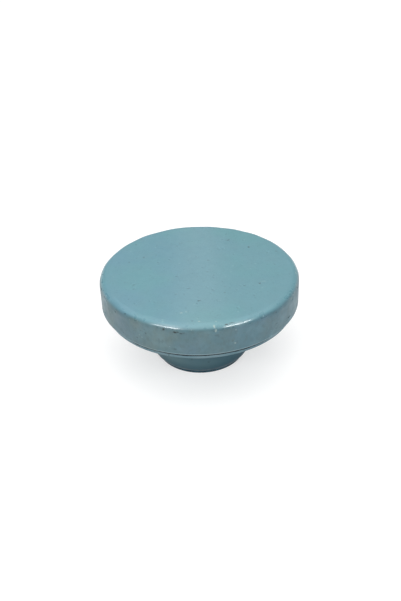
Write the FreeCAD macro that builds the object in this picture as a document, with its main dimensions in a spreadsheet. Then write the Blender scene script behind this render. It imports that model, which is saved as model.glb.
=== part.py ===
import FreeCAD, Part

import math
import os
import re

import Sketcher
from FreeCAD import Placement, Rotation, Vector

# A weighted disc air stone for ponds and aquariums, standing on its foot.
#
# A porous plate is bonded to a moulded housing: a shallow flange under the plate and a hollow
# collar that it all stands on. The hose tail screws into the back of the collar (+Y). Air passes a
# spring-loaded check valve in the central tube, then an orifice in the flange, and spreads in the
# shallow chamber under the plate. Two steel slugs in the collar keep the disc on the bottom.
#
# Frame: millimetres, +Z up, origin at the centre of the ground contact, hose tail towards +Y.

doc = FreeCAD.newDocument("air_stone")

# ---------------------------------------------------------------------------------------------
# Driving dimensions
# ---------------------------------------------------------------------------------------------

SIZES = (
    # Porous plate
    ("stone_radius", 50.0, "outer radius of the porous plate"),
    ("stone_height", 15.9, "height of the plate at its side"),
    ("stone_corner", 3.9, "rounding of the top rim"),
    ("stone_lip", 0.8, "rounding of the lower rim"),
    ("chamber_radius", 40.0, "radius of the air recess under the plate"),
    ("chamber_depth", 5.0, "depth of the air recess"),
    # Adhesive ring between plate and flange
    ("bond_inner", 40.2, "inner radius of the adhesive ring"),
    ("bond_thickness", 0.8, "height of the adhesive ring"),
    ("bead_gap", 0.02, "gap between the squeezed-out bead and the flange's side"),
    ("bead_drop", 0.7, "how far the bead hangs down the flange's side"),
    ("bead_side", 0.5, "how far the bead reaches past the flange beside it"),
    ("bead_top", 1.1, "how far the bead reaches past the flange at the plate"),
    # Flange of the housing
    ("flange_radius", 47.9, "outer radius of the flange"),
    ("flange_bottom", 28.3, "height of the flange's lower edge"),
    ("flange_top", 30.9, "height of the flange's upper face"),
    ("flange_web", 1.6, "thickness of the flange between its ribs"),
    ("flange_rim", 2.6, "width of the flange's stiff outer rim"),
    ("flange_edge", 0.6, "rounding of the flange's lower outer edge"),
    ("flange_root", 1.6, "rounding between the collar and the flange"),
    ("rib_width", 2.4, "width of a rib under the flange"),
    ("rib_count", 12, "number of ribs under the flange"),
    ("spigot_outer", 39.7, "outer radius of the centring spigot"),
    ("spigot_inner", 37.5, "inner radius of the centring spigot"),
    ("spigot_height", 4.3, "height of the centring spigot"),
    ("post_radius", 2.5, "radius of a post that backs the plate"),
    ("post_circle", 22.0, "radius of the circle of posts"),
    ("post_count", 6, "number of posts"),
    ("post_gap", 0.2, "gap between a post and the plate"),
    ("orifice_radius", 4.0, "radius of the air orifice in the flange"),
    # Collar and central tube of the housing
    ("collar_radius", 25.6, "outer radius of the collar"),
    ("collar_edge", 4.3, "rounding of the collar's lower edge"),
    ("collar_inner", 18.3, "inner radius of the collar"),
    ("cover_bore", 20.0, "radius of the counterbore for the cover"),
    ("ledge_height", 5.3, "height of the ledge that the gasket seals on"),
    ("tube_outer", 11.0, "outer radius of the central tube"),
    ("tube_bore", 8.6, "bore radius of the central tube"),
    ("tube_bottom", 4.8, "height of the central tube's lower end"),
    ("boss_radius", 4.2, "radius of a screw boss"),
    ("insert_hole_depth", 8.0, "depth of the hole for an insert"),
    # Foot
    ("foot_height", 1.5, "height of the foot ring below the collar"),
    ("foot_inner", 20.2, "inner radius of the foot ring"),
    ("foot_outer", 22.8, "outer radius of the foot ring"),
    ("foot_edge", 0.4, "rounding of the foot's outer lower edge"),
    ("keel_middle", 21.7, "radius of the foot's keel in its groove"),
    ("keel_width", 0.9, "width of the keel"),
    ("keel_height", 1.6, "height of the keel"),
    ("keel_gap", 0.05, "gap each side of the keel"),
    ("keel_headroom", 0.2, "gap above the keel"),
    # Inlet
    ("inlet_height", 11.5, "height of the inlet's axis"),
    ("inlet_boss_radius", 6.0, "radius of the boss inside the collar"),
    ("inlet_pad_radius", 8.5, "radius of the flat pad on the collar"),
    ("inlet_pad_start", 22.0, "where the pad starts inside the collar's wall"),
    ("inlet_face", 26.8, "distance of the pad's face from the centre"),
    ("inlet_seal_radius", 6.6, "radius of the counterbore for the inlet's seal"),
    ("inlet_seal_depth", 1.6, "depth of that counterbore"),
    ("inlet_thread_radius", 4.9, "radius of the inlet's threaded hole"),
    ("inlet_thread_start", 14.0, "inner end of the threaded hole"),
    ("inlet_bore_radius", 3.0, "radius of the bore into the tube"),
    # Bottom cover, its gasket and its seal
    ("cover_radius", 19.8, "radius of the bottom cover"),
    ("cover_bottom", 2.0, "height of the cover's lower face"),
    ("cover_top", 4.5, "height of the cover's upper face"),
    ("plug_radius", 8.5, "radius of the plug that closes the tube"),
    ("plug_top", 8.3, "height of the plug's end"),
    ("plug_core_radius", 5.0, "radius of the plug's hollow"),
    ("plug_core_top", 6.0, "height of the plug's hollow"),
    ("plug_groove_bottom", 5.6, "lower side of the plug's seal groove"),
    ("gasket_inner", 18.4, "inner radius of the cover gasket"),
    ("gasket_outer", 19.8, "outer radius of the cover gasket"),
    # Seals in the central tube
    ("groove_radius", 7.0, "radius of the bottom of a seal groove"),
    ("groove_width", 1.7, "width of a seal groove"),
    ("seal_circle", 7.8, "radius of the circle of a tube seal's section"),
    ("seal_section", 0.78, "radius of a tube seal's section"),
    # Screws and inserts
    ("screw_circle", 14.5, "radius of the circle of screws"),
    ("screw_count", 3, "number of screws"),
    ("screw_radius", 1.45, "radius of a screw's shank"),
    ("screw_end", 11.0, "height of a screw's tip"),
    ("screw_head_radius", 2.9, "radius of the countersunk head"),
    ("screw_head_face", 2.05, "height of the head's face"),
    ("screw_tip", 0.4, "chamfer of a screw's tip"),
    ("socket_width", 2.0, "width across flats of the head's socket"),
    ("socket_depth", 1.1, "depth of the head's socket"),
    ("clearance_hole", 3.4, "diameter of the cover's screw holes"),
    ("countersink", 6.2, "diameter of the cover's countersinks"),
    ("insert_radius", 2.3, "outer radius of a threaded insert"),
    ("insert_bore", 1.5, "bore radius of a threaded insert"),
    ("insert_length", 5.0, "length of a threaded insert"),
    ("insert_waist", 2.0, "radius of the insert's waist"),
    ("insert_waist_length", 1.0, "length of the insert's waist"),
    ("insert_gap", 0.04, "gap round an insert"),
    # Ballast
    ("ballast_inner", 11.4, "inner radius of a ballast slug"),
    ("ballast_outer", 17.9, "outer radius of a ballast slug"),
    ("ballast_angle", 84.0, "angle that a slug spans"),
    ("ballast_headroom", 0.6, "gap between a slug and the flange"),
    ("ballast_edge", 0.6, "chamfer of a slug's upper outer edge"),
    # Check valve
    ("valve_radius", 8.5, "outer radius of the valve body"),
    ("valve_bottom", 15.5, "height of the valve body's lower face"),
    ("valve_groove_bottom", 18.2, "lower side of the valve's seal groove"),
    ("seat_bore", 3.0, "radius of the hole through the seat"),
    ("seat_outer", 3.6, "outer radius of the raised seat"),
    ("seat_top", 17.3, "height of the seat"),
    ("seat_rise", 0.4, "height of the seat above the valve's floor"),
    ("valve_bore", 5.9, "bore radius of the valve body"),
    ("guide_shelf", 24.5, "height of the shelf that the guide rests on"),
    ("guide_bore", 6.2, "bore radius above that shelf"),
    ("clip_groove", 6.8, "radius of the clip's groove"),
    ("clip_groove_width", 0.8, "width of the clip's groove"),
    ("guide_radius", 6.15, "outer radius of the guide"),
    ("guide_thickness", 1.5, "thickness of the guide"),
    ("stem_hole", 1.33, "radius of the guide's hole for the stem"),
    ("air_hole", 0.95, "radius of an air hole in the guide"),
    ("air_hole_circle", 4.0, "radius of the circle of air holes"),
    ("air_hole_count", 6, "number of air holes"),
    ("clip_inner", 5.5, "inner radius of the retaining clip"),
    ("clip_outer", 6.7, "outer radius of the retaining clip"),
    ("clip_thickness", 0.7, "thickness of the retaining clip"),
    ("clip_angle", 310.0, "angle that the retaining clip spans"),
    # Poppet
    ("poppet_head", 4.9, "radius of the poppet's head"),
    ("poppet_head_thickness", 1.6, "thickness of the poppet's head"),
    ("poppet_stem", 1.25, "radius of the poppet's stem"),
    ("poppet_stem_end", 26.0, "height of the stem's end at rest"),
    ("poppet_hub", 2.0, "radius of the hub that centres spring and seal"),
    ("poppet_hub_height", 0.6, "height of the hub above the head"),
    ("poppet_button", 2.5, "radius of the button that holds the seal"),
    ("poppet_button_height", 0.7, "height of that button"),
    ("poppet_tip", 0.3, "chamfer of the stem's end"),
    ("poppet_seal_outer", 4.7, "outer radius of the poppet's seal"),
    ("poppet_seal_inner", 2.05, "inner radius of the poppet's seal"),
    ("poppet_seal_thickness", 0.6, "thickness of the poppet's seal"),
    # Spring
    ("spring_radius", 2.4, "mean radius of the spring"),
    ("spring_wire", 0.15, "radius of the spring's wire"),
    ("spring_turns", 6, "number of turns"),
    ("spring_end_gap", 0.02, "gap between the wire and its seats"),
    # Hose tail
    ("tail_shank", 4.85, "radius of the hose tail's threaded shank"),
    ("tail_start", 14.2, "inner end of the shank"),
    ("tail_bore", 2.75, "bore radius of the hose tail"),
    ("hex_width", 14.0, "width across flats of the hexagon"),
    ("hex_length", 4.5, "length of the hexagon"),
    ("hex_corner", 0.9, "how far the hexagon's corners are turned down"),
    ("neck_radius", 3.8, "radius of the neck and of the barbs' roots"),
    ("neck_length", 1.9, "length of the neck before the first barb"),
    ("barb_radius", 4.5, "radius of the barbs' crests"),
    ("barb_land", 0.8, "length of a barb's crest"),
    ("barb_pitch", 4.6, "distance from barb to barb"),
    ("tail_end", 47.2, "distance of the hose tail's tip from the centre"),
    ("tail_seal_circle", 5.72, "radius of the circle of the inlet seal's section"),
    ("tail_seal_section", 0.75, "radius of the inlet seal's section"),
)

BARBS = 3

# Heights that follow from the sizes above, as formulas of the sheet's names.
STONE_BOTTOM = "flange_top + bond_thickness"
STONE_TOP = STONE_BOTTOM + " + stone_height"
CHAMBER_TOP = STONE_BOTTOM + " + chamber_depth"
WEB_BOTTOM = "flange_top - flange_web"
POPPET_FACE = "seat_top + poppet_seal_thickness"
POPPET_BACK = POPPET_FACE + " + poppet_head_thickness"
GUIDE_TOP = "guide_shelf + guide_thickness"

sheet = doc.addObject("Spreadsheet::Sheet", "Sizes")
for row, (alias, number, note) in enumerate(SIZES, start=1):
    sheet.set(f"A{row}", alias)
    sheet.set(f"B{row}", str(number))
    sheet.set(f"C{row}", note)
    sheet.setAlias(f"B{row}", alias)
doc.recompute()

# ---------------------------------------------------------------------------------------------
# Helpers: formulas, sketches and features
# ---------------------------------------------------------------------------------------------

START = 1
END = 2
CENTRE = 3
ORIGIN = -1
ACROSS_AXIS = -1
UPRIGHT_AXIS = -2
FULL_TURN = 360.0
SMALL = 1e-6

bodies = []


def formula(text):
    """Turn a formula of plain alias names into one that reads the sheet."""
    return re.sub(r"[a-z][a-z_]+", lambda name: "Sizes." + name.group(), text)


def size(text):
    """Give the present value of a formula."""
    return float(sheet.evalExpression(formula(text)))


def new_body(label):
    """Start a sub-part; its label names its file."""
    body = doc.addObject("PartDesign::Body", label)
    body.Label = label
    bodies.append(body)
    return body


def origin_part(body, role):
    """Find one of the body's own origin planes or axes."""
    return next(part for part in body.Origin.OriginFeatures if part.Role == role)


def new_sketch(body, name, role, offset="0"):
    """Attach a sketch to an origin plane of the body, moved along the plane's normal."""
    sketch = body.newObject("Sketcher::SketchObject", name)
    sketch.AttachmentSupport = [(origin_part(body, role), "")]
    sketch.MapMode = "FlatFace"
    sketch.setExpression(".AttachmentOffset.Base.z", formula(offset))
    return sketch


def bind_point(sketch, geometry, point, across, up):
    """Hold a point of the sketch at two formulas, or on an axis where a formula is zero."""
    for text, kind, axis in ((across, "DistanceX", UPRIGHT_AXIS), (up, "DistanceY", ACROSS_AXIS)):
        value = size(text)
        if abs(value) < SMALL:
            sketch.addConstraint(Sketcher.Constraint("PointOnObject", geometry, point, axis))
            continue
        index = sketch.addConstraint(Sketcher.Constraint(kind, ORIGIN, START, geometry, point, value))
        sketch.setExpression(f"Constraints[{index}]", formula(text))


def draw_outline(sketch, corners):
    """Draw a closed outline through corners given as pairs of formulas."""
    spots = [Vector(size(across), size(up), 0) for across, up in corners]
    count = len(spots)
    for i in range(count):
        sketch.addGeometry(Part.LineSegment(spots[i], spots[(i + 1) % count]), False)
    for i in range(count):
        sketch.addConstraint(Sketcher.Constraint("Coincident", i, END, (i + 1) % count, START))
    for i, (across, up) in enumerate(corners):
        bind_point(sketch, i, START, across, up)


def draw_circle(sketch, across, up, radius):
    """Draw a circle whose centre and radius are formulas."""
    middle = Vector(size(across), size(up), 0)
    index = sketch.addGeometry(Part.Circle(middle, Vector(0, 0, 1), size(radius)), False)
    bind_point(sketch, index, CENTRE, across, up)
    rim = sketch.addConstraint(Sketcher.Constraint("Radius", index, size(radius)))
    sketch.setExpression(f"Constraints[{rim}]", formula(radius))


def draw_hexagon(sketch, across, up, width):
    """Draw a regular hexagon about a centre, with two of its flats level."""
    corner = f"({width}) / {math.sqrt(3)}"
    draw_outline(sketch, [
        (f"({across}) + ({corner}) * {math.cos(math.radians(60 * k)):.9f}",
         f"({up}) + ({corner}) * {math.sin(math.radians(60 * k)):.9f}") for k in range(6)])


def draw_axis(sketch, across):
    """Draw an upright construction line that a profile can turn about."""
    length = "flange_top"
    foot = Vector(size(across), 0, 0)
    head = Vector(size(across), size(length), 0)
    index = sketch.addGeometry(Part.LineSegment(foot, head), True)
    bind_point(sketch, index, START, across, "0")
    bind_point(sketch, index, END, across, length)


def volume_after(feature):
    """Recompute and give the volume of a feature's result."""
    doc.recompute()
    return feature.Shape.Volume


def must_change(body, feature, before, sign):
    """Stop if a feature adds or removes nothing, which raises no error by itself."""
    change = volume_after(feature) - before
    if change * sign <= SMALL:
        raise RuntimeError(f"{body.Label}.{feature.Label} changed the volume by {change}")


def present_volume(body):
    """Give the body's volume before the next feature."""
    if body.Tip is None or body.Tip.Shape.isNull():
        return 0.0
    return body.Tip.Shape.Volume


def add_feature(body, kind, name, sketch, **options):
    """Add a sketch-based feature and check that it changes the volume the right way."""
    before = present_volume(body)
    feature = body.newObject("PartDesign::" + kind, name)
    feature.Profile = sketch
    for option, setting in options.items():
        if isinstance(setting, str) and option in ("Length", "Angle", "Height"):
            feature.setExpression(option, formula(setting))
        else:
            setattr(feature, option, setting)
    sketch.Visibility = False
    sign = -1 if kind in ("Pocket", "Groove", "Hole") else 1
    must_change(body, feature, before, sign)
    return feature


def turn_profile(body, name, corners, kind="Revolution"):
    """Turn an outline of radius and height about the body's Z axis, to add or to cut."""
    sketch = new_sketch(body, name + "_profile", "XZ_Plane")
    draw_outline(sketch, corners)
    return add_feature(body, kind, name, sketch, ReferenceAxis=(sketch, ["V_Axis"]), Angle=FULL_TURN)


def turn_beside(body, name, axis_at, corners):
    """Turn an outline in the YZ plane about an upright line away from the Z axis."""
    sketch = new_sketch(body, name + "_profile", "YZ_Plane")
    draw_outline(sketch, corners)
    draw_axis(sketch, axis_at)
    return add_feature(body, "Revolution", name, sketch, ReferenceAxis=(sketch, ["Axis0"]), Angle=FULL_TURN)


def pad_circle(body, name, role, offset, across, up, radius, length, reverse=False):
    """Raise a round boss from a plane."""
    sketch = new_sketch(body, name + "_outline", role, offset)
    draw_circle(sketch, across, up, radius)
    return add_feature(body, "Pad", name, sketch, Length=length, Reversed=reverse)


def cut_circle(body, name, role, offset, across, up, radius, length, reverse=False):
    """Cut a round hole from a plane."""
    sketch = new_sketch(body, name + "_outline", role, offset)
    draw_circle(sketch, across, up, radius)
    return add_feature(body, "Pocket", name, sketch, Length=length, Reversed=reverse)


def repeat_round(body, name, originals, count):
    """Repeat features at even steps about the Z axis; the pattern becomes the body's tip."""
    pattern = body.newObject("PartDesign::PolarPattern", name)
    pattern.Originals = originals
    pattern.Axis = (origin_part(body, "Z_Axis"), [""])
    pattern.Angle = FULL_TURN
    pattern.setExpression("Occurrences", formula(count))
    body.Tip = pattern
    doc.recompute()
    return pattern


def round_edges(feature, circles):
    """Name the circular edges about the Z axis with the given radii and heights."""
    wanted = [(size(radius), size(height)) for radius, height in circles]
    names = []
    for number, edge in enumerate(feature.Shape.Edges, start=1):
        if not isinstance(edge.Curve, Part.Circle):
            continue
        found = (edge.Curve.Radius, edge.Curve.Center.z)
        if any(math.dist(found, pair) < 1e-4 for pair in wanted):
            names.append(f"Edge{number}")
    if len(names) < len(circles):
        raise RuntimeError(f"{feature.Label}: found {len(names)} of {len(circles)} edges")
    return names


def dress_edges(body, kind, name, circles, amount):
    """Round or chamfer circular edges of the body's tip."""
    base = body.Tip
    names = round_edges(base, circles)
    feature = body.newObject("PartDesign::" + kind, name)
    feature.Base = (base, names)
    feature.setExpression("Radius" if kind == "Fillet" else "Size", formula(amount))
    doc.recompute()
    return feature


def seal_ring(label, circle, height, section):
    """Make a round seal whose section is a circle."""
    body = new_body(label)
    sketch = new_sketch(body, "section", "XZ_Plane")
    draw_circle(sketch, circle, height, section)
    add_feature(body, "Revolution", "ring", sketch, ReferenceAxis=(sketch, ["V_Axis"]), Angle=FULL_TURN)
    return body


def flat_ring(label, inner, outer, bottom, top):
    """Make a ring with a rectangular section."""
    body = new_body(label)
    turn_profile(body, "ring", [(inner, bottom), (outer, bottom), (outer, top), (inner, top)])
    return body


# ---------------------------------------------------------------------------------------------
# Porous plate and what bonds it down
# ---------------------------------------------------------------------------------------------


def make_diffuser_stone():
    body = new_body("diffuser_stone")
    turn_profile(body, "plate", [
        ("0", CHAMBER_TOP),
        ("chamber_radius", CHAMBER_TOP),
        ("chamber_radius", STONE_BOTTOM),
        ("stone_radius", STONE_BOTTOM),
        ("stone_radius", STONE_TOP),
        ("0", STONE_TOP)])
    dress_edges(body, "Fillet", "top_rim", [("stone_radius", STONE_TOP)], "stone_corner")
    dress_edges(body, "Fillet", "lower_lip", [("stone_radius", STONE_BOTTOM)], "stone_lip")


def make_stone_bond_ring():
    body = new_body("stone_bond_ring")
    turn_profile(body, "ring", [
        ("bond_inner", "flange_top"),
        ("flange_radius + bead_gap", "flange_top"),
        ("flange_radius + bead_gap", "flange_top - bead_drop"),
        ("flange_radius + bead_side", "flange_top - bead_drop / 2"),
        ("flange_radius + bead_top", STONE_BOTTOM),
        ("bond_inner", STONE_BOTTOM)])


# ---------------------------------------------------------------------------------------------
# Housing: flange, collar, central tube, bosses and inlet in one moulding
# ---------------------------------------------------------------------------------------------


def make_base_housing():
    body = new_body("base_housing")
    turn_profile(body, "shell", [
        ("0", "tube_bottom"),
        ("tube_outer", "tube_bottom"),
        ("tube_outer", "flange_bottom"),
        ("collar_inner", "flange_bottom"),
        ("collar_inner", "ledge_height"),
        ("cover_bore", "ledge_height"),
        ("cover_bore", "foot_height"),
        ("collar_radius", "foot_height"),
        ("collar_radius", WEB_BOTTOM),
        ("flange_radius - flange_rim", WEB_BOTTOM),
        ("flange_radius - flange_rim", "flange_bottom"),
        ("flange_radius", "flange_bottom"),
        ("flange_radius", "flange_top"),
        ("spigot_outer", "flange_top"),
        ("spigot_outer", "flange_top + spigot_height"),
        ("spigot_inner", "flange_top + spigot_height"),
        ("spigot_inner", "flange_top"),
        ("0", "flange_top")])
    dress_edges(body, "Fillet", "flange_lower_edge", [("flange_radius", "flange_bottom")], "flange_edge")
    dress_edges(body, "Fillet", "collar_root", [("collar_radius", WEB_BOTTOM)], "flange_root")
    dress_edges(body, "Fillet", "collar_lower_edge", [("collar_radius", "foot_height")], "collar_edge")

    # Ribs that stiffen the flange from below, between the collar and the rim.
    rib_sketch = new_sketch(body, "rib_outline", "XY_Plane", "flange_bottom")
    rib_start = "(collar_inner + collar_radius) / 2"
    rib_end = "flange_radius - flange_rim / 2"
    draw_outline(rib_sketch, [
        (rib_start, "-rib_width / 2"),
        (rib_end, "-rib_width / 2"),
        (rib_end, "rib_width / 2"),
        (rib_start, "rib_width / 2")])
    rib = add_feature(body, "Pad", "rib", rib_sketch, Length="flange_top - flange_web / 2 - flange_bottom")
    repeat_round(body, "ribs", [rib], "rib_count")

    # Posts that back the plate when somebody steps on it.
    post = pad_circle(body, "post", "XY_Plane", "flange_top", "post_circle", "0", "post_radius",
                      "bond_thickness + chamber_depth - post_gap")
    repeat_round(body, "posts", [post], "post_count")

    # Bosses for the cover's screws, joined to the tube and to the collar.
    boss = pad_circle(body, "boss", "XY_Plane", "ledge_height", "0", "-screw_circle", "boss_radius",
                      "flange_top - flange_web / 2 - ledge_height")
    repeat_round(body, "bosses", [boss], "screw_count")

    # Inlet boss across the collar, with a flat round pad on the collar's back. The XZ plane's
    # normal is -Y, so offsets are negative and pads are reversed to grow towards +Y.
    pad_circle(body, "inlet_boss", "XZ_Plane", "0", "0", "inlet_height", "inlet_boss_radius",
               "(collar_inner + collar_radius) / 2", reverse=True)
    pad_circle(body, "inlet_pad", "XZ_Plane", "-inlet_pad_start", "0", "inlet_height",
               "inlet_pad_radius", "inlet_face - inlet_pad_start", reverse=True)

    # Bore of the central tube, and the orifice above it.
    turn_profile(body, "tube_cut", [
        ("0", "tube_bottom"),
        ("tube_bore", "tube_bottom"),
        ("tube_bore", "flange_bottom"),
        ("orifice_radius", "flange_bottom"),
        ("orifice_radius", "flange_top"),
        ("0", "flange_top")], kind="Groove")

    # Inlet: counterbore for the seal, threaded hole, and the bore into the tube.
    cut_circle(body, "inlet_seal_cut", "XZ_Plane", "-(inlet_face - inlet_seal_depth)", "0",
               "inlet_height", "inlet_seal_radius", "inlet_seal_depth")
    cut_circle(body, "inlet_thread_cut", "XZ_Plane", "-inlet_thread_start", "0",
               "inlet_height", "inlet_thread_radius", "inlet_face - inlet_thread_start")
    cut_circle(body, "inlet_bore_cut", "XZ_Plane", "0", "0",
               "inlet_height", "inlet_bore_radius", "inlet_thread_start")

    # Groove that the foot's keel sits in.
    keel_half = "(keel_width / 2 + keel_gap)"
    turn_profile(body, "keel_groove", [
        (f"keel_middle - {keel_half}", "foot_height"),
        (f"keel_middle + {keel_half}", "foot_height"),
        (f"keel_middle + {keel_half}", "foot_height + keel_height + keel_headroom"),
        (f"keel_middle - {keel_half}", "foot_height + keel_height + keel_headroom")], kind="Groove")

    # Blind holes for the threaded inserts.
    hole = cut_circle(body, "insert_hole", "XY_Plane", "ledge_height", "0", "-screw_circle",
                      "insert_radius + insert_gap", "insert_hole_depth", reverse=True)
    repeat_round(body, "insert_holes", [hole], "screw_count")


def make_foot_ring():
    body = new_body("foot_ring")
    turn_profile(body, "ring", [
        ("foot_inner", "0"),
        ("foot_outer", "0"),
        ("foot_outer", "foot_height"),
        ("keel_middle + keel_width / 2", "foot_height"),
        ("keel_middle + keel_width / 2", "foot_height + keel_height"),
        ("keel_middle - keel_width / 2", "foot_height + keel_height"),
        ("keel_middle - keel_width / 2", "foot_height"),
        ("foot_inner", "foot_height")])
    dress_edges(body, "Fillet", "outer_edge", [("foot_outer", "0")], "foot_edge")


# ---------------------------------------------------------------------------------------------
# Bottom cover, its seals, screws and inserts
# ---------------------------------------------------------------------------------------------


def make_bottom_cover():
    body = new_body("bottom_cover")
    turn_profile(body, "cover", [
        ("0", "plug_core_top"),
        ("plug_core_radius", "plug_core_top"),
        ("plug_core_radius", "cover_bottom"),
        ("cover_radius", "cover_bottom"),
        ("cover_radius", "cover_top"),
        ("plug_radius", "cover_top"),
        ("plug_radius", "plug_groove_bottom"),
        ("groove_radius", "plug_groove_bottom"),
        ("groove_radius", "plug_groove_bottom + groove_width"),
        ("plug_radius", "plug_groove_bottom + groove_width"),
        ("plug_radius", "plug_top"),
        ("0", "plug_top")])
    before = present_volume(body)
    sketch = new_sketch(body, "screw_hole_place", "XY_Plane", "cover_bottom")
    draw_circle(sketch, "0", "-screw_circle", "clearance_hole / 2")
    doc.recompute()
    hole = body.newObject("PartDesign::Hole", "screw_hole")
    hole.Profile = sketch
    doc.recompute()
    hole.DepthType = "ThroughAll"
    hole.setExpression("Diameter", formula("clearance_hole"))
    hole.HoleCutType = "Countersink"
    hole.HoleCutCustomValues = True
    hole.setExpression("HoleCutDiameter", formula("countersink"))
    hole.HoleCutCountersinkAngle = 90.0
    hole.Reversed = True
    must_change(body, hole, before, -1)
    repeat_round(body, "screw_holes", [hole], "screw_count")


def make_cover_gasket():
    flat_ring("cover_gasket", "gasket_inner", "gasket_outer", "cover_top", "ledge_height")


def make_cover_oring():
    seal_ring("cover_oring", "seal_circle", "plug_groove_bottom + groove_width / 2", "seal_section")


def make_cover_screws():
    body = new_body("cover_screws")
    body.AllowCompound = True
    shank = "-screw_circle + screw_radius"
    head_root = "screw_head_face + screw_head_radius - screw_radius"
    screw = turn_beside(body, "screw", "-screw_circle", [
        ("-screw_circle", "screw_head_face"),
        ("-screw_circle + screw_head_radius", "screw_head_face"),
        (shank, head_root),
        (shank, "screw_end - screw_tip"),
        (shank + " - screw_tip", "screw_end"),
        ("-screw_circle", "screw_end")])
    sketch = new_sketch(body, "socket_outline", "XY_Plane", "screw_head_face")
    draw_hexagon(sketch, "0", "-screw_circle", "socket_width")
    socket = add_feature(body, "Pocket", "socket", sketch, Length="socket_depth", Reversed=True)
    repeat_round(body, "screws", [screw, socket], "screw_count")


def make_screw_inserts():
    body = new_body("screw_inserts")
    body.AllowCompound = True
    bore = "-screw_circle + insert_bore"
    skin = "-screw_circle + insert_radius"
    waist = "-screw_circle + insert_waist"
    waist_bottom = "ledge_height + (insert_length - insert_waist_length) / 2"
    waist_top = "ledge_height + (insert_length + insert_waist_length) / 2"
    insert = turn_beside(body, "insert", "-screw_circle", [
        (bore, "ledge_height"),
        (skin, "ledge_height"),
        (skin, waist_bottom),
        (waist, waist_bottom),
        (waist, waist_top),
        (skin, waist_top),
        (skin, "ledge_height + insert_length"),
        (bore, "ledge_height + insert_length")])
    repeat_round(body, "inserts", [insert], "screw_count")


# ---------------------------------------------------------------------------------------------
# Ballast: two curved slugs in front of the inlet, between the screw bosses
# ---------------------------------------------------------------------------------------------


def make_ballast(label, heading):
    """Make one curved steel slug whose middle points at a heading about the Z axis."""
    body = new_body(label)
    top = "flange_bottom - ballast_headroom"
    sketch = new_sketch(body, "section", "XZ_Plane")
    draw_outline(sketch, [
        ("ballast_inner", "cover_top"),
        ("ballast_outer", "cover_top"),
        ("ballast_outer", top + " - ballast_edge"),
        ("ballast_outer - ballast_edge", top),
        ("ballast_inner", top)])
    add_feature(body, "Revolution", "slug", sketch, ReferenceAxis=(sketch, ["V_Axis"]),
                Angle="ballast_angle", Midplane=True)
    body.Placement = Placement(Vector(0, 0, 0), Rotation(Vector(0, 0, 1), heading))


# ---------------------------------------------------------------------------------------------
# Check valve in the central tube
# ---------------------------------------------------------------------------------------------


def make_valve_body():
    body = new_body("valve_body")
    groove_top = "valve_groove_bottom + groove_width"
    clip_top = GUIDE_TOP + " + clip_groove_width"
    turn_profile(body, "cartridge", [
        ("seat_bore", "valve_bottom"),
        ("valve_radius", "valve_bottom"),
        ("valve_radius", "valve_groove_bottom"),
        ("groove_radius", "valve_groove_bottom"),
        ("groove_radius", groove_top),
        ("valve_radius", groove_top),
        ("valve_radius", "flange_bottom"),
        ("guide_bore", "flange_bottom"),
        ("guide_bore", clip_top),
        ("clip_groove", clip_top),
        ("clip_groove", GUIDE_TOP),
        ("guide_bore", GUIDE_TOP),
        ("guide_bore", "guide_shelf"),
        ("valve_bore", "guide_shelf"),
        ("valve_bore", "seat_top - seat_rise"),
        ("seat_outer", "seat_top - seat_rise"),
        ("seat_outer", "seat_top"),
        ("seat_bore", "seat_top")])


def make_valve_body_oring():
    seal_ring("valve_body_oring", "seal_circle", "valve_groove_bottom + groove_width / 2", "seal_section")


def make_valve_poppet():
    body = new_body("valve_poppet")
    turn_profile(body, "poppet", [
        ("0", "seat_top - poppet_button_height"),
        ("poppet_button", "seat_top - poppet_button_height"),
        ("poppet_button", "seat_top"),
        ("poppet_hub", "seat_top"),
        ("poppet_hub", POPPET_FACE),
        ("poppet_head", POPPET_FACE),
        ("poppet_head", POPPET_BACK),
        ("poppet_hub", POPPET_BACK),
        ("poppet_hub", POPPET_BACK + " + poppet_hub_height"),
        ("poppet_stem", POPPET_BACK + " + poppet_hub_height"),
        ("poppet_stem", "poppet_stem_end - poppet_tip"),
        ("poppet_stem - poppet_tip", "poppet_stem_end"),
        ("0", "poppet_stem_end")])


def make_poppet_seal():
    flat_ring("poppet_seal", "poppet_seal_inner", "poppet_seal_outer", "seat_top", POPPET_FACE)


def make_valve_spring():
    body = new_body("valve_spring")
    sketch = new_sketch(body, "wire_section", "XZ_Plane")
    draw_circle(sketch, "spring_radius", POPPET_BACK + " + spring_end_gap + spring_wire", "spring_wire")
    helix = body.newObject("PartDesign::AdditiveHelix", "coils")
    helix.Profile = sketch
    helix.ReferenceAxis = (sketch, ["V_Axis"])
    helix.Mode = "height-turns-angle"
    free_height = "guide_shelf - 2 * spring_end_gap - 2 * spring_wire - (" + POPPET_BACK + ")"
    helix.setExpression("Height", formula(free_height))
    helix.setExpression("Turns", formula("spring_turns"))
    must_change(body, helix, 0.0, 1)


def make_valve_guide():
    body = new_body("valve_guide")
    turn_profile(body, "disc", [
        ("stem_hole", "guide_shelf"),
        ("guide_radius", "guide_shelf"),
        ("guide_radius", GUIDE_TOP),
        ("stem_hole", GUIDE_TOP)])
    hole = cut_circle(body, "air_hole", "XY_Plane", "guide_shelf", "air_hole_circle", "0",
                      "air_hole", "guide_thickness", reverse=True)
    repeat_round(body, "air_holes", [hole], "air_hole_count")


def make_valve_clip():
    body = new_body("valve_clip")
    sketch = new_sketch(body, "section", "XZ_Plane")
    draw_outline(sketch, [
        ("clip_inner", GUIDE_TOP),
        ("clip_outer", GUIDE_TOP),
        ("clip_outer", GUIDE_TOP + " + clip_thickness"),
        ("clip_inner", GUIDE_TOP + " + clip_thickness")])
    add_feature(body, "Revolution", "clip", sketch, ReferenceAxis=(sketch, ["V_Axis"]),
                Angle="clip_angle", Midplane=True)


# ---------------------------------------------------------------------------------------------
# Hose tail, drawn along its own Z axis and laid towards +Y at the inlet's height
# ---------------------------------------------------------------------------------------------


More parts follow.
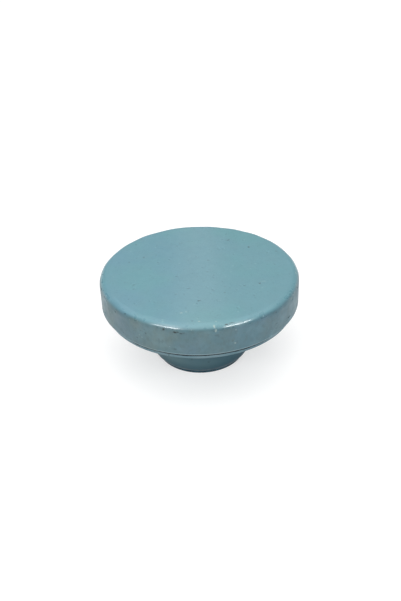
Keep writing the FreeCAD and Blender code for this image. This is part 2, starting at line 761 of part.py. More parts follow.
def lay_in_inlet(body):
    """Turn a body's Z axis to +Y and lift it to the inlet's axis."""
    body.Placement = Placement(Vector(0, 0, 0), Rotation(Vector(1, 0, 0), -90))
    body.setExpression(".Placement.Base.z", formula("inlet_height"))


def make_hose_tail():
    body = new_body("hose_tail")
    hex_end = "inlet_face + hex_length"
    corners = [
        ("tail_bore", "tail_start"),
        ("tail_shank", "tail_start"),
        ("tail_shank", hex_end),
        ("neck_radius", hex_end)]
    first_barb = hex_end + " + neck_length"
    for barb in range(BARBS):
        crest = f"{first_barb} + {barb} * barb_pitch"
        corners += [("neck_radius", crest), ("barb_radius", crest), ("barb_radius", crest + " + barb_land")]
        if barb < BARBS - 1:
            corners.append(("neck_radius", crest + " + barb_pitch - barb_land"))
    corners += [("neck_radius", "tail_end"), ("tail_bore", "tail_end")]
    turn_profile(body, "stem", corners)

    sketch = new_sketch(body, "hex_outline", "XY_Plane", "inlet_face")
    draw_hexagon(sketch, "0", "0", "hex_width")
    draw_circle(sketch, "0", "0", "tail_bore")
    add_feature(body, "Pad", "hex", sketch, Length="hex_length")

    corner_radius = f"hex_width / {math.sqrt(3)}"
    turn_profile(body, "hex_corners", [
        (f"{corner_radius} - hex_corner", hex_end),
        (f"{corner_radius} + hex_corner", hex_end),
        (f"{corner_radius} + hex_corner", f"{hex_end} - hex_corner")], kind="Groove")
    lay_in_inlet(body)


def make_hose_tail_oring():
    body = seal_ring("hose_tail_oring", "tail_seal_circle", "inlet_face - inlet_seal_depth / 2",
                     "tail_seal_section")
    lay_in_inlet(body)


# ---------------------------------------------------------------------------------------------
# Build, check and write
# ---------------------------------------------------------------------------------------------

LEFT_HEADING = 210
RIGHT_HEADING = 330

make_diffuser_stone()
make_stone_bond_ring()
make_base_housing()
make_foot_ring()
make_bottom_cover()
make_cover_gasket()
make_cover_oring()
make_cover_screws()
make_screw_inserts()
make_ballast("ballast_left", LEFT_HEADING)
make_ballast("ballast_right", RIGHT_HEADING)
make_valve_body()
make_valve_body_oring()
make_valve_poppet()
make_poppet_seal()
make_valve_spring()
make_valve_guide()
make_valve_clip()
make_hose_tail()
make_hose_tail_oring()
doc.recompute()

for item in doc.Objects:
    if "Invalid" in item.State or "Error" in item.State:
        raise RuntimeError(f"{item.Label} failed: {item.State}")

os.makedirs("parts", exist_ok=True)
for body in bodies:
    if body.Shape.isNull() or not body.Shape.isValid():
        raise RuntimeError(f"{body.Label} has no valid shape")
    body.Shape.exportStep(f"parts/{body.Label}.step")
    box = body.Shape.BoundBox
    print(f"{body.Label:18s} solids {len(body.Shape.Solids)}  volume {body.Shape.Volume:10.2f}  "
          f"x {box.XMin:7.2f} {box.XMax:7.2f}  y {box.YMin:7.2f} {box.YMax:7.2f}  "
          f"z {box.ZMin:6.2f} {box.ZMax:6.2f}")
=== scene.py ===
import math

import bpy
import numpy as np
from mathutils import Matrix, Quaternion, Vector


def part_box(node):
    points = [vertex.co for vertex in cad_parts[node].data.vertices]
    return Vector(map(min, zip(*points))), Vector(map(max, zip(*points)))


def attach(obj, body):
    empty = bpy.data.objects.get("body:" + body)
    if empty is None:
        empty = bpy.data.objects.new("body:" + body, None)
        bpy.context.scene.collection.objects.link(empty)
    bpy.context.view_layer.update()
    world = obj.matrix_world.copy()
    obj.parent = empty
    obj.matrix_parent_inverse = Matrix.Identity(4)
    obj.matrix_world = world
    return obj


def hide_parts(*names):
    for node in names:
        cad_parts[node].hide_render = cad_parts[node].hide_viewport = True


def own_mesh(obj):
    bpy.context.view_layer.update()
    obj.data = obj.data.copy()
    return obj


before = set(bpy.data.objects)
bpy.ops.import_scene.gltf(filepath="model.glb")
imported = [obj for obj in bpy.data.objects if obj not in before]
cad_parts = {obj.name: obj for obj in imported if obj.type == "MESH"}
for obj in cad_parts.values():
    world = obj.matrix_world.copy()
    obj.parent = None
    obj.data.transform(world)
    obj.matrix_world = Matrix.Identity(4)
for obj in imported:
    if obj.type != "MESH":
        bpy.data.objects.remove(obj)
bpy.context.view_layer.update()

# Lengths are in metres, and sizes given in millimetres are multiplied by MM. The front is -Y.
MM = 0.001
PLATE_LOW, PLATE_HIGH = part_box("diffuser_stone")
PLATE_RADIUS = PLATE_HIGH.x
TOP = PLATE_HIGH.z
# Radii of the plate's rounded top rim and lower rim, as in the CAD model.
RIM = 3.9 * MM
LIP = 0.8 * MM


def add_object(name, data):
    """Put a new object in the scene."""
    thing = bpy.data.objects.new(name, data)
    bpy.context.scene.collection.objects.link(thing)
    return thing


# ---------------------------------------------------------------------------------------------
# Camera, light and floor
# ---------------------------------------------------------------------------------------------

CAMERA_ELEVATION = math.radians(30.6)
CAMERA_ROLL = math.radians(1.7)
CAMERA_DISTANCE = 3.66 * 2 * PLATE_RADIUS
CAMERA_SHIFT = (0.0024, -0.0514)
LENS_MM = 43.7
SENSOR_MM = 36.0

# Area lights: name, place, width and height in metres, watts and roll in degrees.
OVERHEAD = ("overhead", (-0.1, 0.1, TOP + 1.6), (3.0, 3.0), 42.0, 0.0)
STRIP_LEFT = ("strip_left", (-0.78, -1.05, TOP + 0.80), (0.8, 0.13), 6.5, 8.0)
STRIP_RIGHT = ("strip_right", (0.85, -0.90, TOP + 0.85), (0.9, 0.13), 6.5, 4.0)

# The surround's brightness by height, from 0 at the horizon to 1 straight up.
SURROUND = ((0.0, 0.90), (0.04, 0.62), (0.14, 0.24), (0.45, 0.18), (0.85, 0.40))
SURROUND_CAST = (0.985, 0.995, 1.0)
SURROUND_LEFT, SURROUND_RIGHT = 1.12, 0.88
BACKDROP = (0.96, 0.97, 0.975)


def make_camera():
    """Look at the plate's top from the front, about 31 degrees above the horizon."""
    data = bpy.data.cameras.new("camera")
    data.lens = LENS_MM
    data.sensor_width = SENSOR_MM
    data.shift_x, data.shift_y = CAMERA_SHIFT
    data.clip_start = 0.01
    camera = add_object("camera", data)
    backwards = Vector((0, -math.cos(CAMERA_ELEVATION), math.sin(CAMERA_ELEVATION)))
    camera.location = Vector((0, 0, TOP)) + backwards * CAMERA_DISTANCE
    camera.rotation_mode = "QUATERNION"
    level = backwards.to_track_quat("Z", "Y")
    camera.rotation_quaternion = level @ Quaternion((0, 0, 1), -CAMERA_ROLL)
    bpy.context.scene.camera = camera


def make_area_light(name, place, size, power, roll):
    """Hang a rectangular light that points at the plate and is rolled about its direction."""
    data = bpy.data.lights.new(name, "AREA")
    data.shape = "RECTANGLE"
    data.size, data.size_y = size
    data.energy = power
    light = add_object(name, data)
    light.location = place
    light.rotation_mode = "QUATERNION"
    aim = (Vector((0, 0, TOP)) - Vector(place)).to_track_quat("-Z", "Y")
    light.rotation_quaternion = aim @ Quaternion((0, 0, 1), math.radians(roll))
    light.visible_camera = False


def make_world():
    """A surround that lights the object, and a pale backdrop that only the camera sees.

    The surround is pale at the horizon, dim above it, a little paler overhead, and brighter on
    the left than on the right.
    """
    world = bpy.data.worlds.new("studio")
    world.use_nodes = True
    nodes, link = world.node_tree.nodes, world.node_tree.links.new
    place = nodes.new("ShaderNodeTexCoord")
    split = nodes.new("ShaderNodeSeparateXYZ")
    link(place.outputs["Generated"], split.inputs["Vector"])

    ramp = nodes.new("ShaderNodeValToRGB")
    while len(ramp.color_ramp.elements) < len(SURROUND):
        ramp.color_ramp.elements.new(0.5)
    for element, (position, value) in zip(ramp.color_ramp.elements, SURROUND):
        element.position = position
        element.color = (*(value * part for part in SURROUND_CAST), 1.0)
    link(split.outputs["Z"], ramp.inputs["Fac"])
    side = nodes.new("ShaderNodeMapRange")
    side.inputs["From Min"].default_value = -1.0
    side.inputs["To Min"].default_value = SURROUND_LEFT
    side.inputs["To Max"].default_value = SURROUND_RIGHT
    link(split.outputs["X"], side.inputs["Value"])
    surround = nodes["Background"]
    link(ramp.outputs["Color"], surround.inputs["Color"])
    link(side.outputs["Result"], surround.inputs["Strength"])

    backdrop = nodes.new("ShaderNodeBackground")
    backdrop.inputs["Color"].default_value = (*BACKDROP, 1.0)
    ray = nodes.new("ShaderNodeLightPath")
    choice = nodes.new("ShaderNodeMixShader")
    link(ray.outputs["Is Camera Ray"], choice.inputs["Fac"])
    link(surround.outputs["Background"], choice.inputs[1])
    link(backdrop.outputs["Background"], choice.inputs[2])
    link(choice.outputs["Shader"], nodes["World Output"].inputs["Surface"])
    bpy.context.scene.world = world


def make_light():
    """A wide soft light overhead, and two thin strips in front that draw the streaks on the rim."""
    make_world()
    bpy.context.scene.view_settings.view_transform = "Standard"
    for light in (OVERHEAD, STRIP_LEFT, STRIP_RIGHT):
        make_area_light(*light)


def make_floor():
    """A wide pale disc that glows more with distance, so that it fades into the backdrop."""
    radius = 4.0
    corners = 96
    fade_from, fade_to = 0.7, 2.6
    near_glow, far_glow = 0.60, 0.92
    angles = [math.tau * k / corners for k in range(corners)]
    verts = [(radius * math.cos(angle), radius * math.sin(angle), 0) for angle in angles]
    mesh = bpy.data.meshes.new("floor")
    mesh.from_pydata(verts, [], [list(range(corners))])
    floor = add_object("floor", mesh)
    paint = Shader("floor_paint")
    cloud = paint.noise(3.0, 2.0)
    paint.colour(paint.mix(cloud, (0.42, 0.42, 0.42), (0.45, 0.45, 0.45)))
    paint.set("Roughness", 0.8)
    paint.set("Emission Color", (1.0, 1.0, 1.0, 1.0))
    far = paint.node("ShaderNodeVectorMath", operation="LENGTH")
    paint.feed(far.inputs[0], paint.place)
    glow = paint.span(far.outputs["Value"], fade_from, fade_to, near_glow, far_glow)
    paint.feed(paint.surface.inputs["Emission Strength"], glow)
    mesh.materials.append(paint.material)


# ---------------------------------------------------------------------------------------------
# Materials
# ---------------------------------------------------------------------------------------------


class Shader:
    """A node material on one Principled BSDF; patterns follow the place in the object's frame."""

    def __init__(self, name):
        self.material = bpy.data.materials.new(name)
        self.material.use_nodes = True
        self.tree = self.material.node_tree
        self.surface = self.tree.nodes["Principled BSDF"]
        self.place = self.node("ShaderNodeTexCoord").outputs["Object"]

    def node(self, kind, **settings):
        """Add a node and set its properties."""
        node = self.tree.nodes.new(kind)
        for key, value in settings.items():
            setattr(node, key, value)
        return node

    def feed(self, socket, value):
        """Give a socket a constant, a colour or another node's output."""
        if isinstance(value, bpy.types.NodeSocket):
            self.tree.links.new(value, socket)
        elif isinstance(value, tuple) and len(value) == 3 and len(socket.default_value) == 4:
            socket.default_value = (*value, 1.0)
        else:
            socket.default_value = value

    def set(self, name, value):
        """Give one of the surface's own sockets a constant."""
        self.surface.inputs[name].default_value = value

    def colour(self, value):
        """Set or link the surface's colour."""
        self.feed(self.surface.inputs["Base Color"], value)

    def roughness(self, value):
        """Set or link the surface's roughness."""
        self.feed(self.surface.inputs["Roughness"], value)

    def noise(self, scale, detail=3.0, stretch=None, offset=0.0):
        """Cloudy values about 0.5; scale is in features per metre."""
        node = self.node("ShaderNodeTexNoise")
        self.feed(node.inputs["Scale"], scale)
        self.feed(node.inputs["Detail"], detail)
        self.feed(node.inputs["Vector"], self.moved(stretch, offset))
        return node.outputs["Fac"]

    def moved(self, stretch, offset):
        """The place, stretched and shifted, so that two patterns don't fall together."""
        node = self.node("ShaderNodeMapping")
        self.feed(node.inputs["Vector"], self.place)
        self.feed(node.inputs["Location"], (offset, offset * 0.7, offset * 1.3))
        self.feed(node.inputs["Scale"], stretch or (1.0, 1.0, 1.0))
        return node.outputs["Vector"]

    def cells(self, scale, offset=0.0):
        """Distance to the nearest of scattered points, and two random values for that point."""
        node = self.node("ShaderNodeTexVoronoi")
        self.feed(node.inputs["Scale"], scale)
        self.feed(node.inputs["Vector"], self.moved(None, offset))
        pick = self.node("ShaderNodeSeparateColor")
        self.feed(pick.inputs["Color"], node.outputs["Color"])
        return node.outputs["Distance"], pick.outputs["Red"], pick.outputs["Green"]

    def attribute(self, name):
        """A value kept at the mesh's points."""
        return self.node("ShaderNodeAttribute", attribute_name=name).outputs["Fac"]

    def along(self, axis):
        """The place's coordinate along X, Y or Z."""
        node = self.node("ShaderNodeSeparateXYZ")
        self.feed(node.inputs["Vector"], self.place)
        return node.outputs[axis]

    def maths(self, kind, first, second=0.0):
        """A sum, product or other operation on two values."""
        node = self.node("ShaderNodeMath", operation=kind)
        self.feed(node.inputs[0], first)
        self.feed(node.inputs[1], second)
        return node.outputs[0]

    def span(self, value, low, high, to_low=0.0, to_high=1.0):
        """Map a range to another with soft ends."""
        node = self.node("ShaderNodeMapRange", interpolation_type="SMOOTHSTEP")
        self.feed(node.inputs["Value"], value)
        self.feed(node.inputs["From Min"], low)
        self.feed(node.inputs["From Max"], high)
        self.feed(node.inputs["To Min"], to_low)
        self.feed(node.inputs["To Max"], to_high)
        return node.outputs["Result"]

    def times(self, first, second):
        """The product of two values."""
        return self.maths("MULTIPLY", first, second)

    def band(self, value, start, full, fading, end):
        """0 outside a range and 1 inside it, rising from start to full and falling from fading."""
        return self.times(self.span(value, start, full), self.span(value, fading, end, 1.0, 0.0))

    def mix(self, share, first, second):
        """Blend two colours."""
        node = self.node("ShaderNodeMix", data_type="RGBA")
        self.feed(node.inputs["Factor"], share)
        self.feed(node.inputs["A"], first)
        self.feed(node.inputs["B"], second)
        return node.outputs["Result"]

    def over(self, tint, colour, *shares):
        """Lay a colour over a tint, as strongly as the shares multiplied together."""
        share = shares[0]
        for other in shares[1:]:
            share = self.times(share, other)
        return self.mix(share, tint, colour)

    def dots(self, scale, size, share, offset):
        """Small round specks: about a share of the cells hold one, each with its own size."""
        distance, chance, width = self.cells(scale, offset)
        reach = self.times(self.maths("ADD", width, 0.35), size)
        far = self.span(self.maths("DIVIDE", distance, reach), 0.55, 1.0)
        near = self.maths("SUBTRACT", 1.0, far)
        return self.times(near, self.maths("LESS_THAN", chance, share))

    def bump(self, height, depth, strength=1.0):
        """Raise the surface, on top of earlier bumps; a height from 0 to 1 spans the depth."""
        node = self.node("ShaderNodeBump")
        self.feed(node.inputs["Height"], height)
        self.feed(node.inputs["Distance"], depth)
        self.feed(node.inputs["Strength"], strength)
        if self.surface.inputs["Normal"].is_linked:
            self.feed(node.inputs["Normal"], self.surface.inputs["Normal"].links[0].from_socket)
        self.feed(self.surface.inputs["Normal"], node.outputs["Normal"])


def srgb(red, green, blue):
    """A colour given as display values from 0 to 255, as linear light."""
    def one(value):
        value = value / 255
        return value / 12.92 if value <= 0.04045 else ((value + 0.055) / 1.055) ** 2.4
    return one(red), one(green), one(blue)


def stone_material():
    """Sealed mineral: satin teal with cloudy tints and specks, a stained side darkened partly as
    painted shade, a glossier rim, a painted sheen on the top and a painted highlight along the
    lower lip.
    """
    paint = Shader("sealed_mineral")
    height = paint.along("Z")
    rightward = paint.span(paint.along("X"), -32.0 * MM, 32.0 * MM)
    from_middle = paint.maths("ABSOLUTE", paint.along("X"))
    side = paint.span(height, TOP - 2.6 * MM, TOP - 0.8 * MM, 1.0, 0.0)
    broad = paint.noise(30.0, 3.0)
    middle = paint.noise(130.0, 4.0, offset=0.3)
    fine = paint.noise(1500.0, 2.0, offset=0.7)
    top_tint = paint.mix(rightward, srgb(97, 139, 153), srgb(98, 140, 150))
    top_tint = paint.over(top_tint, srgb(94, 144, 149), paint.span(broad, 0.38, 0.62, 0.0, 0.55))
    # Painted sheen: the top is paler down its middle, fading towards its left and right.
    painted_sheen = paint.span(from_middle, 2.0 * MM, 20.0 * MM, 0.06, 0.0)
    top_tint = paint.over(top_tint, srgb(190, 204, 205), painted_sheen)

    # The side is darker than the top, partly as painted shade, and duller: olive stains mostly on
    # the left, bluish ones everywhere, a fine mottle, and a deeper teal towards its left and right
    # ends.
    shaded_side_tint = paint.mix(rightward, srgb(75, 105, 112), srgb(67, 102, 114))
    cloud = paint.noise(110.0, 6.0, stretch=(1.0, 1.0, 0.6), offset=1.7)
    shaded_side_tint = paint.over(shaded_side_tint, srgb(90, 104, 98), paint.span(cloud, 0.42, 0.70),
                           paint.span(rightward, 0.0, 1.0, 0.6, 0.2))
    bluish = paint.noise(48.0, 3.0, offset=2.3)
    shaded_side_tint = paint.over(shaded_side_tint, srgb(84, 108, 124), paint.span(bluish, 0.48, 0.7, 0.0, 0.5))
    mottle = paint.noise(560.0, 5.0, stretch=(1.0, 1.0, 0.8), offset=2.9)
    shaded_side_tint = paint.over(shaded_side_tint, srgb(66, 88, 92), paint.span(mottle, 0.46, 0.68, 0.0, 0.38))
    outer = paint.span(from_middle, 20.0 * MM, 50.0 * MM, 0.0, 0.36)
    shaded_side_tint = paint.over(shaded_side_tint, srgb(36, 86, 100), outer)

    tint = paint.mix(side, top_tint, shaded_side_tint)
    tint = paint.over(tint, srgb(100, 136, 146), paint.span(middle, 0.45, 0.75, 0.0, 0.30))
    tint = paint.over(tint, srgb(84, 118, 128), paint.span(fine, 0.35, 0.75, 0.0, 0.18))

    # A pale line painted along the lower lip is a painted highlight, where the lip's rounding
    # catches the light.
    lip = PLATE_LOW.z
    painted_lip_highlight = paint.band(height, lip + 0.15 * MM, lip + 0.35 * MM, lip + 0.75 * MM, lip + 1.1 * MM)
    tint = paint.over(tint, srgb(134, 160, 168), painted_lip_highlight, 0.28)

    # Grain: dark and pale specks, as scale, size, share of the cells, offset, strength, colour.
    for scale, size, share, offset, strength, colour in (
            (900.0, 0.40, 0.12, 0.0, 0.22, srgb(70, 98, 98)),
            (420.0, 0.28, 0.05, 0.5, 0.35, srgb(66, 86, 80)),
            (700.0, 0.34, 0.03, 0.9, 0.16, srgb(166, 192, 192))):
        tint = paint.over(tint, colour, paint.dots(scale, size, share, offset), strength)

    # Marks that are also dents or chips in the mesh.
    tint = paint.over(tint, srgb(184, 194, 184), paint.attribute("pale"))
    tint = paint.over(tint, srgb(26, 38, 38), paint.attribute("dark"))
    paint.colour(tint)

    smooth = paint.band(height, TOP - 3.4 * MM, TOP - 2.6 * MM, TOP - 0.60 * MM, TOP - 0.25 * MM)
    rough = paint.span(paint.noise(220.0, 4.0, offset=3.1), 0.3, 0.7, 0.36, 0.50)
    rough = paint.maths("SUBTRACT", rough, paint.times(smooth, 0.12))
    rough = paint.maths("ADD", rough, paint.times(paint.attribute("pale"), 0.3))
    paint.roughness(rough)

    # Glaze that is left on the rim where nothing has rubbed it.
    glazed = paint.band(height, TOP - 2.7 * MM, TOP - 2.1 * MM, TOP - 1.0 * MM, TOP - 0.6 * MM)
    glaze = paint.times(glazed, paint.attribute("glaze"))
    paint.feed(paint.surface.inputs["Coat Weight"], glaze)
    paint.set("Coat Roughness", 0.20)
    paint.set("Coat IOR", 1.8)
    paint.bump(paint.noise(2200.0, 2.0, offset=4.0), 0.02 * MM, 0.5)
    paint.bump(paint.noise(420.0, 3.0, offset=5.0), 0.05 * MM, 0.25)
    return paint.material


def housing_material():
    """Moulded plastic, dyed through: darker teal, faint flow marks, dusty on the flange; painted
    light on the flange, painted shade to the right, along the flange's lower edge and towards the
    ground.
    """
    paint = Shader("moulded_teal")
    height = paint.along("Z")
    rightward = paint.span(paint.along("X"), -20.0 * MM, 24.0 * MM)
    cloud = paint.noise(60.0, 4.0)
    grain = paint.noise(900.0, 2.0, offset=0.4)
    tint = paint.mix(paint.span(cloud, 0.35, 0.65), srgb(83, 110, 118), srgb(88, 112, 116))
    # Painted shade: darker towards the right, away from the light on the left.
    tint = paint.over(tint, srgb(42, 76, 90), rightward, 0.85)
    tint = paint.over(tint, srgb(68, 96, 104), paint.span(grain, 0.4, 0.8, 0.0, 0.25))

    # The flange is painted paler than the collar, as painted light, with patches of dust and a line
    # of painted shade above its lower edge.
    flange = paint.span(height, 27.5 * MM, 28.2 * MM)
    tint = paint.over(tint, srgb(99, 128, 138), flange, 0.8)
    patches = paint.noise(45.0, 3.0, stretch=(1.0, 1.0, 3.0), offset=0.9)
    dust = paint.span(patches, 0.42, 0.62, 0.0, 0.30)
    tint = paint.over(tint, srgb(136, 154, 160), flange, dust)
    painted_edge_shade = paint.band(height, 27.6 * MM, 28.0 * MM, 28.5 * MM, 28.9 * MM)
    tint = paint.over(tint, srgb(52, 68, 74), painted_edge_shade, 0.6)

    # Painted shade: the collar darkens towards the ground, most of all in its hem.
    low = paint.span(height, 2.0 * MM, 9.0 * MM, 1.0, 0.0)
    tint = paint.over(tint, srgb(38, 64, 76), low, 0.85)
    hem = paint.span(height, 1.6 * MM, 3.2 * MM, 1.0, 0.0)
    tint = paint.over(tint, srgb(6, 30, 40), hem, 0.8)
    tint = paint.over(tint, srgb(56, 76, 78), paint.dots(600.0, 0.34, 0.07, 0.2), 0.5)
    paint.colour(tint)
    rough = paint.span(paint.noise(300.0, 4.0, offset=1.5), 0.3, 0.7, 0.34, 0.50)
    paint.roughness(paint.maths("ADD", rough, paint.times(hem, 0.5)))
    paint.set("Specular IOR Level", 0.1)
    paint.bump(paint.noise(1800.0, 2.0, offset=2.5), 0.015 * MM, 0.5)
    paint.bump(paint.noise(90.0, 3.0, stretch=(1.0, 1.0, 0.25), offset=3.5), 0.12 * MM, 0.3)
    return paint.material


def plain_material(name, light, dark, rough, metal=0.0, scale=200.0, grain=0.02 * MM,
                   stretch=None, specular=0.5):
    """A material that varies between two colours and two roughnesses; grain is its bumps' depth."""
    paint = Shader(name)
    cloud = paint.noise(scale, 4.0, stretch=stretch)
    paint.colour(paint.mix(paint.span(cloud, 0.35, 0.65), dark, light))
    patches = paint.noise(scale * 2.3, 3.0, stretch=stretch, offset=0.6)
    paint.roughness(paint.span(patches, 0.3, 0.7, *rough))
    paint.set("Metallic", metal)
    paint.set("Specular IOR Level", specular)
    paint.bump(paint.noise(scale * 6.0, 2.0, stretch=stretch, offset=1.2), grain, 0.5)
    return paint.material


def brass_material():
    """Turned brass: fine rings across the axis, browner where it has tarnished."""
    paint = Shader("turned_brass")
    tarnish = paint.span(paint.noise(140.0, 5.0), 0.42, 0.68)
    tint = paint.mix(tarnish, srgb(205, 172, 104), srgb(150, 116, 66))
    spots = paint.noise(900.0, 3.0, offset=0.8)
    tint = paint.over(tint, srgb(112, 96, 66), paint.span(spots, 0.5, 0.8, 0.0, 0.4))
    paint.colour(tint)
    paint.set("Metallic", 1.0)
    paint.roughness(paint.span(tarnish, 0.0, 1.0, 0.22, 0.42))
    paint.bump(paint.noise(120.0, 2.0, stretch=(1.0, 40.0, 1.0), offset=1.9), 0.01 * MM, 0.6)
    return paint.material


# ---------------------------------------------------------------------------------------------
# Mesh helpers
# ---------------------------------------------------------------------------------------------


def run_line(start, end, step, most):
    """A straight stretch of a profile, from (radius, height) to (radius, height).

    Gives its points without the end, their outward directions, and for each the most points
    that its ring may have.
    """
    start, end = np.array(start), np.array(end)
    length = np.linalg.norm(end - start)
    count = max(1, math.ceil(length / step))
    along = (end - start) / length
    share = np.arange(count)[:, None] / count
    points = start + (end - start) * share
    outward = np.tile((-along[1], along[0]), (count, 1))
    return points, outward, np.full(count, most)


def run_arc(centre, radius, first, last, step, most):
    """A round stretch of a profile, given like a straight one; the angles are in degrees."""
    first, last = math.radians(first), math.radians(last)
    count = max(2, math.ceil(abs(last - first) * radius / step))
    angle = first + (last - first) * np.arange(count) / count
    outward = np.stack([np.cos(angle), np.sin(angle)], axis=1)
    if last > first:
        outward = -outward
    points = np.array(centre) + radius * np.stack([np.cos(angle), np.sin(angle)], axis=1)
    return points, outward, np.full(count, most)


def point_counts(radius, most, spacing, closed):
    """Points in each ring: a power of two that suits its radius, at most twice its neighbour's."""
    fewest, passes = 8, 12
    steps = np.maximum(math.tau * radius / spacing, fewest)
    wanted = np.clip(2 ** np.ceil(np.log2(steps)), fewest, most).astype(int)
    for _ in range(passes):
        wanted[1:] = np.minimum(wanted[1:], wanted[:-1] * 2)
        wanted[:-1] = np.minimum(wanted[:-1], wanted[1:] * 2)
        if closed:
            wanted[0] = wanted[-1] = min(wanted[0], wanted[-1])
    return wanted


def stitch(first, second):
    """Faces between two rings of point numbers, as many in each or twice as many in one."""
    faces = []
    if len(first) == len(second):
        after_a, after_b = np.roll(first, -1), np.roll(second, -1)
        faces += np.stack([first, second, after_b, after_a], axis=1).tolist()
    elif len(second) == 2 * len(first):
        after = np.roll(first, -1)
        even, odd = second[0::2], second[1::2]
        next_even = np.roll(even, -1)
        faces += np.stack([first, even, odd], axis=1).tolist()
        faces += np.stack([first, odd, after], axis=1).tolist()
        faces += np.stack([after, odd, next_even], axis=1).tolist()
    else:
        after = np.roll(second, -1)
        even, odd = first[0::2], first[1::2]
        next_even = np.roll(even, -1)
        faces += np.stack([even, second, odd], axis=1).tolist()
        faces += np.stack([odd, second, after], axis=1).tolist()
        faces += np.stack([odd, after, next_even], axis=1).tolist()
    return faces


class Lathe:
    """A body of revolution about Z as rings of points, which can then be worn and dented."""

    def __init__(self, runs, spacing, closed=False):
        profile, outward, most = (np.concatenate(column) for column in zip(*runs))
        counts = point_counts(profile[:, 0], most, spacing, closed)
        self.rings = []
        places, normals = [], []
        total = 0
        for (radius, height), (out, up), count in zip(profile, outward, counts):
            if radius == 0:
                count = 1
            angle = math.tau * np.arange(count) / count
            around = np.stack([np.cos(angle), np.sin(angle)], axis=1)
            places.append(np.column_stack([around * radius, np.full(count, height)]))
            normals.append(np.column_stack([around * out, np.full(count, up)]))
            self.rings.append(np.arange(total, total + count))
            total += count
        self.points = np.concatenate(places)
        self.normals = np.concatenate(normals)
        self.closed = closed

    def faces(self):
        """Faces between all neighbouring rings, and round a point on the axis."""
        pairs = list(zip(self.rings[:-1], self.rings[1:]))
        if self.closed:
            pairs.append((self.rings[-1], self.rings[0]))
        faces = []
        for first, second in pairs:
            if len(first) == 1:
                after = np.roll(second, -1)
                faces += [[first[0], a, b] for a, b in zip(second.tolist(), after.tolist())]
            elif len(second) == 1:
                after = np.roll(first, -1)
                faces += [[a, second[0], b] for a, b in zip(first.tolist(), after.tolist())]
            else:
                faces += stitch(first, second)
        return faces

    def push(self, amount):
        """Move the points along their outward directions, in metres."""
        self.points += self.normals * np.asarray(amount)[:, None]

    def make(self, name, material, attributes=None):
        """Turn the rings into a smooth-shaded object, with values kept at its points."""
        mesh = bpy.data.meshes.new(name)
        mesh.from_pydata(self.points.tolist(), [], self.faces())
        mesh.polygons.foreach_set("use_smooth", [True] * len(mesh.polygons))
        for key, values in (attributes or {}).items():
            layer = mesh.attributes.new(key, "FLOAT", "POINT")
            layer.data.foreach_set("value", np.asarray(values, np.float32))
        mesh.materials.append(material)
        mesh.validate()
        return add_object(name, mesh)


def ripple(points, seed, wavelength, waves=28):
    """A smooth random field, mostly between -1 and 1."""
    rng = np.random.default_rng(seed)
    heading = rng.normal(size=(waves, 3))
    heading /= np.linalg.norm(heading, axis=1)[:, None]
    heading *= rng.uniform(0.7, 1.5, size=(waves, 1)) * math.tau / wavelength
    phase = rng.uniform(0, math.tau, waves)
    return np.cos(points @ heading.T + phase).sum(axis=1) / math.sqrt(waves)


def soft_step(value, low, high):
    """0 up to low and 1 from high, with soft ends."""
    share = np.clip((value - low) / (high - low), 0, 1)
    return share * share * (3 - 2 * share)


# ---------------------------------------------------------------------------------------------
# Porous plate
# ---------------------------------------------------------------------------------------------


def side_spot(azimuth, height):
    """A point on the plate's side or rim, and the direction round it that a mark runs in.

    The azimuth is in degrees from the front towards +X, and the height in mm.
    """
    angle = math.radians(azimuth)
    height = height * MM
    drop = max(0.0, height - (TOP - RIM))
    radius = PLATE_RADIUS - RIM + math.sqrt(max(RIM * RIM - drop * drop, 0.0))
    place = np.array([radius * math.sin(angle), -radius * math.cos(angle), height])
    around = np.array([math.cos(angle), math.sin(angle), 0.0])
    return place, around


def top_spot(across, away, turn=0.0):
    """A point on the plate's top, in mm from its middle, and the direction that a mark runs in."""
    angle = math.radians(turn)
    place = np.array([across * MM, away * MM, TOP])
    return place, np.array([math.cos(angle), math.sin(angle), 0.0])


def closeness(points, spot, length, width, warp):
    """1 at a spot, falling to 0 outside an oval that is length by width mm, with a ragged edge."""
    place, along = spot
    near = np.flatnonzero(np.abs(points - place).max(axis=1) < 2.5 * max(length, width) * MM)
    field = np.zeros(len(points))
    offset = points[near] - place
    run = offset @ along
    rest = np.sqrt(np.maximum((offset ** 2).sum(axis=1) - run ** 2, 0))
    distance = np.hypot(run / (0.5 * length * MM), rest / (0.5 * width * MM))
    field[near] = 1 - soft_step(distance + 0.35 * warp[near], 0.45, 1.15)
    return field


